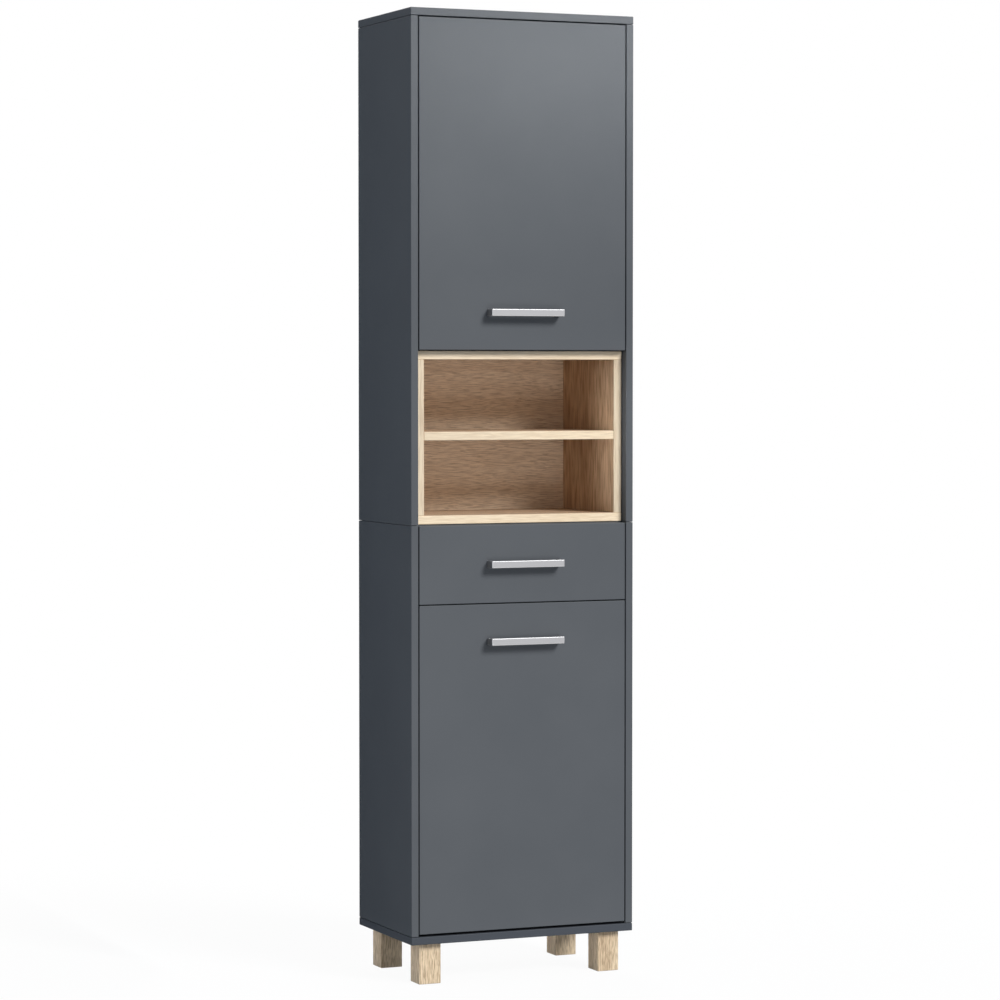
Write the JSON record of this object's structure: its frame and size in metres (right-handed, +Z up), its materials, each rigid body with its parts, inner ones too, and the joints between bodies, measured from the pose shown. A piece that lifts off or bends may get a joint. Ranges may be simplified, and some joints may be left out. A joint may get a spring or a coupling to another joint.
{
  "type": "tall bathroom cabinet",
  "caption": "Tall bathroom cabinet on legs: slate grey case, upper and lower doors, an open oak niche with a shelf, and a drawer on roller runners.",
  "frame": {"origin": "on the floor, under the middle of the box that holds the cabinet and its handles", "axes": "+Z up, the doors face -Y, +X to the right as seen from the front"},
  "size_m": [0.5, 0.327, 2],
  "materials": {
    "slate_board": "particle board with a matt slate grey face and matching edge band",
    "oak_board": "particle board with a light oak face, fine open grain",
    "oak_leg": "light oak, grain along the leg",
    "satin_handle": "satin nickel on a cast bow handle",
    "plated_steel": "zinc plated fittings and screws",
    "runner_steel": "white powder coat on rolled steel",
    "nylon": "white moulded nylon",
    "hardboard": "thin hardboard, matt grey inside and brown behind",
    "drawer_board": "matt grey drawer boards",
    "beech": "fluted beech dowels"
  },
  "bodies": {
    "cabinet": {"top_panel": "slate_board", "upper_left_side": "slate_board", "upper_right_side": "slate_board", "upper_back_panel": "hardboard", "upper_shelves": "slate_board", "niche_bottom_board": "oak_board", "niche_top_board": "oak_board", "niche_left_board": "oak_board", "niche_right_board": "oak_board", "niche_shelf": "oak_board", "niche_back": "oak_board", "lower_left_side": "slate_board", "lower_right_side": "slate_board", "lower_back_panel": "hardboard", "lower_top_board": "slate_board", "middle_board": "slate_board", "lower_shelves": "slate_board", "bottom_panel": "slate_board", "leg_front_left": "oak_leg", "leg_front_right": "oak_leg", "leg_back_left": "oak_leg", "leg_back_right": "oak_leg", "cam_locks": "plated_steel", "cam_bolts": "plated_steel", "dowels": "beech", "shelf_pins": "plated_steel", "panel_screws": "plated_steel", "wall_brackets": "plated_steel", "wall_bracket_screws": "plated_steel", "cabinet_runner_left": "runner_steel", "cabinet_runner_right": "runner_steel", "hinge_plates": "plated_steel", "hinge_arms": "plated_steel", "door_catches": "nylon", "fitting_screws": "plated_steel"},
    "upper_door": {"upper_door": "slate_board", "upper_door_handle": "satin_handle", "upper_hinge_cups": "plated_steel", "upper_hinge_pins": "plated_steel", "upper_catch_plate": "plated_steel", "upper_door_screws": "plated_steel"},
    "lower_door": {"lower_door": "slate_board", "lower_door_handle": "satin_handle", "lower_hinge_cups": "plated_steel", "lower_hinge_pins": "plated_steel", "lower_catch_plate": "plated_steel", "lower_door_screws": "plated_steel"},
    "drawer": {"drawer_front": "slate_board", "drawer_handle": "satin_handle", "drawer_left_side": "drawer_board", "drawer_right_side": "drawer_board", "drawer_back": "drawer_board", "drawer_bottom": "hardboard", "drawer_runners": "runner_steel", "drawer_cam_locks": "plated_steel", "drawer_cam_bolts": "plated_steel", "drawer_screws": "plated_steel"},
    "front_rollers": {"front_rollers": "nylon"},
    "rear_rollers": {"rear_rollers": "nylon"}
  },
  "joints": [
    {"name": "upper_door_swing", "type": "hinge", "parent": "cabinet", "child": "upper_door", "pos_m": [0.218, -0.13, 1.643], "axis": [0, 0, 1], "range_deg": [0, 95]},
    {"name": "lower_door_swing", "type": "hinge", "parent": "cabinet", "child": "lower_door", "pos_m": [0.218, -0.13, 0.44375], "axis": [0, 0, 1], "range_deg": [0, 95]},
    {"name": "drawer_slide", "type": "slide", "parent": "cabinet", "child": "drawer", "axis": [0, -1, 0], "range_m": [0, 0.18]},
    {"name": "front_roller_spin", "type": "hinge", "parent": "cabinet", "child": "front_rollers", "pos_m": [0, -0.1025, 0.8165], "axis": [1, 0, 0], "range_deg": [0, 897]},
    {"name": "rear_roller_spin", "type": "hinge", "parent": "drawer", "child": "rear_rollers", "pos_m": [0, 0.1155, 0.8165], "axis": [1, 0, 0], "range_deg": [0, 897]}
  ],
  "couplings": [
    {"joint": "front_roller_spin", "follows": "drawer_slide", "rad_per_m": 86.957},
    {"joint": "rear_roller_spin", "follows": "drawer_slide", "rad_per_m": 86.957}
  ]
}
